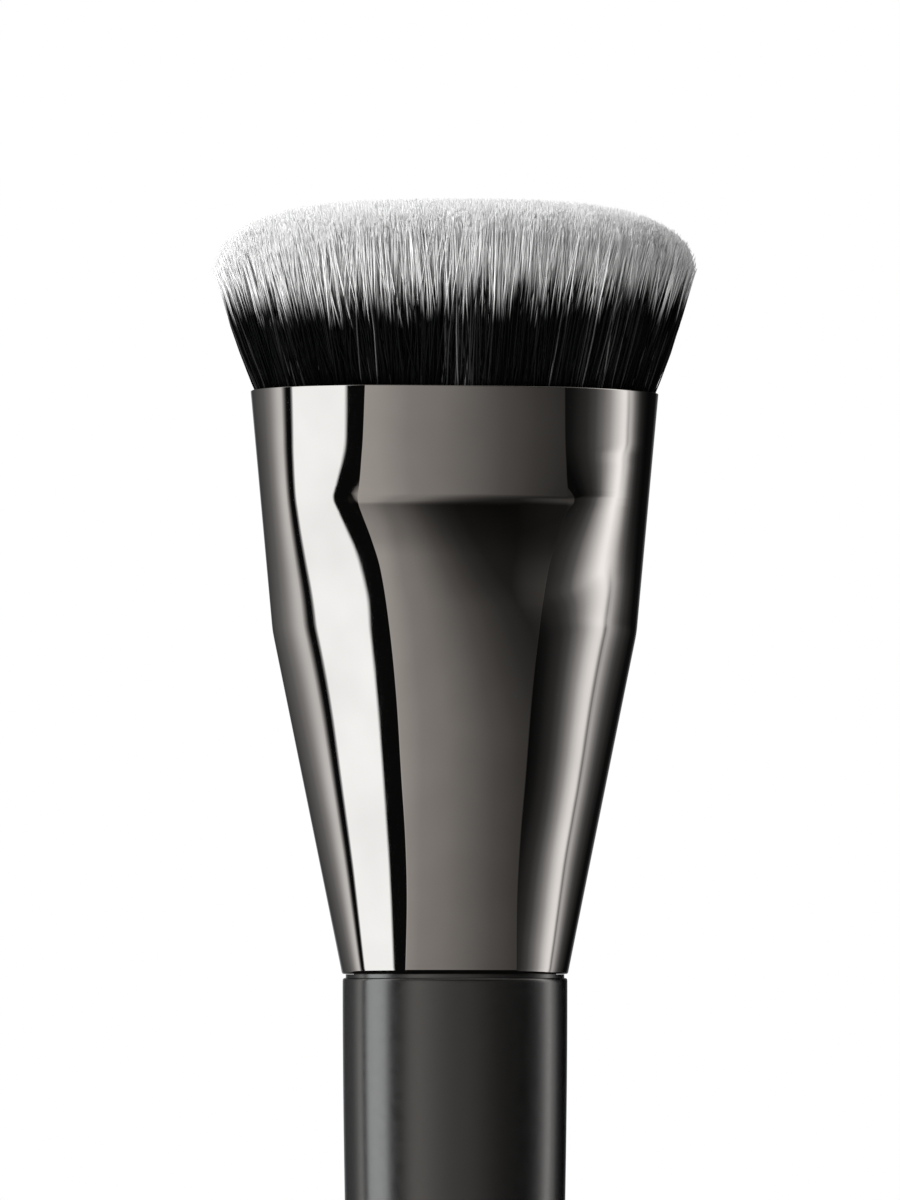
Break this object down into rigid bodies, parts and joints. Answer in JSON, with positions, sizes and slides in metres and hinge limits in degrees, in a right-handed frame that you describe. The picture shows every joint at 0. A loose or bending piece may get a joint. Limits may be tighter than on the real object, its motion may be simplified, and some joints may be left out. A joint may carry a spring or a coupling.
{
  "type": "contour brush",
  "caption": "Flat-topped contour brush: dense flared two-tone tuft in a faceted gunmetal ferrule on a slim satin black handle.",
  "frame": {"origin": "middle of the handle's flat end, with the brush upright", "axes": "+Z along the brush from the handle's end to the bristle tips, -Y out of the wide front facet, +X across the width"},
  "size_m": [0.0376, 0.0172, 0.161],
  "materials": {
    "bristle": "satin",
    "resin": "satin",
    "cup_aluminium": "satin",
    "gunmetal": "polished",
    "carrier": "matte",
    "handle_black": "satin",
    "weight_steel": "satin",
    "plug_black": "satin"
  },
  "bodies": {
    "root": {"bristle_tuft": "bristle", "resin_plug": "resin", "hair_cup": "cup_aluminium", "ferrule": "gunmetal", "ferrule_core": "carrier", "handle_shell": "handle_black", "balance_weight": "weight_steel", "end_plug": "plug_black"}
  },
  "joints": []
}
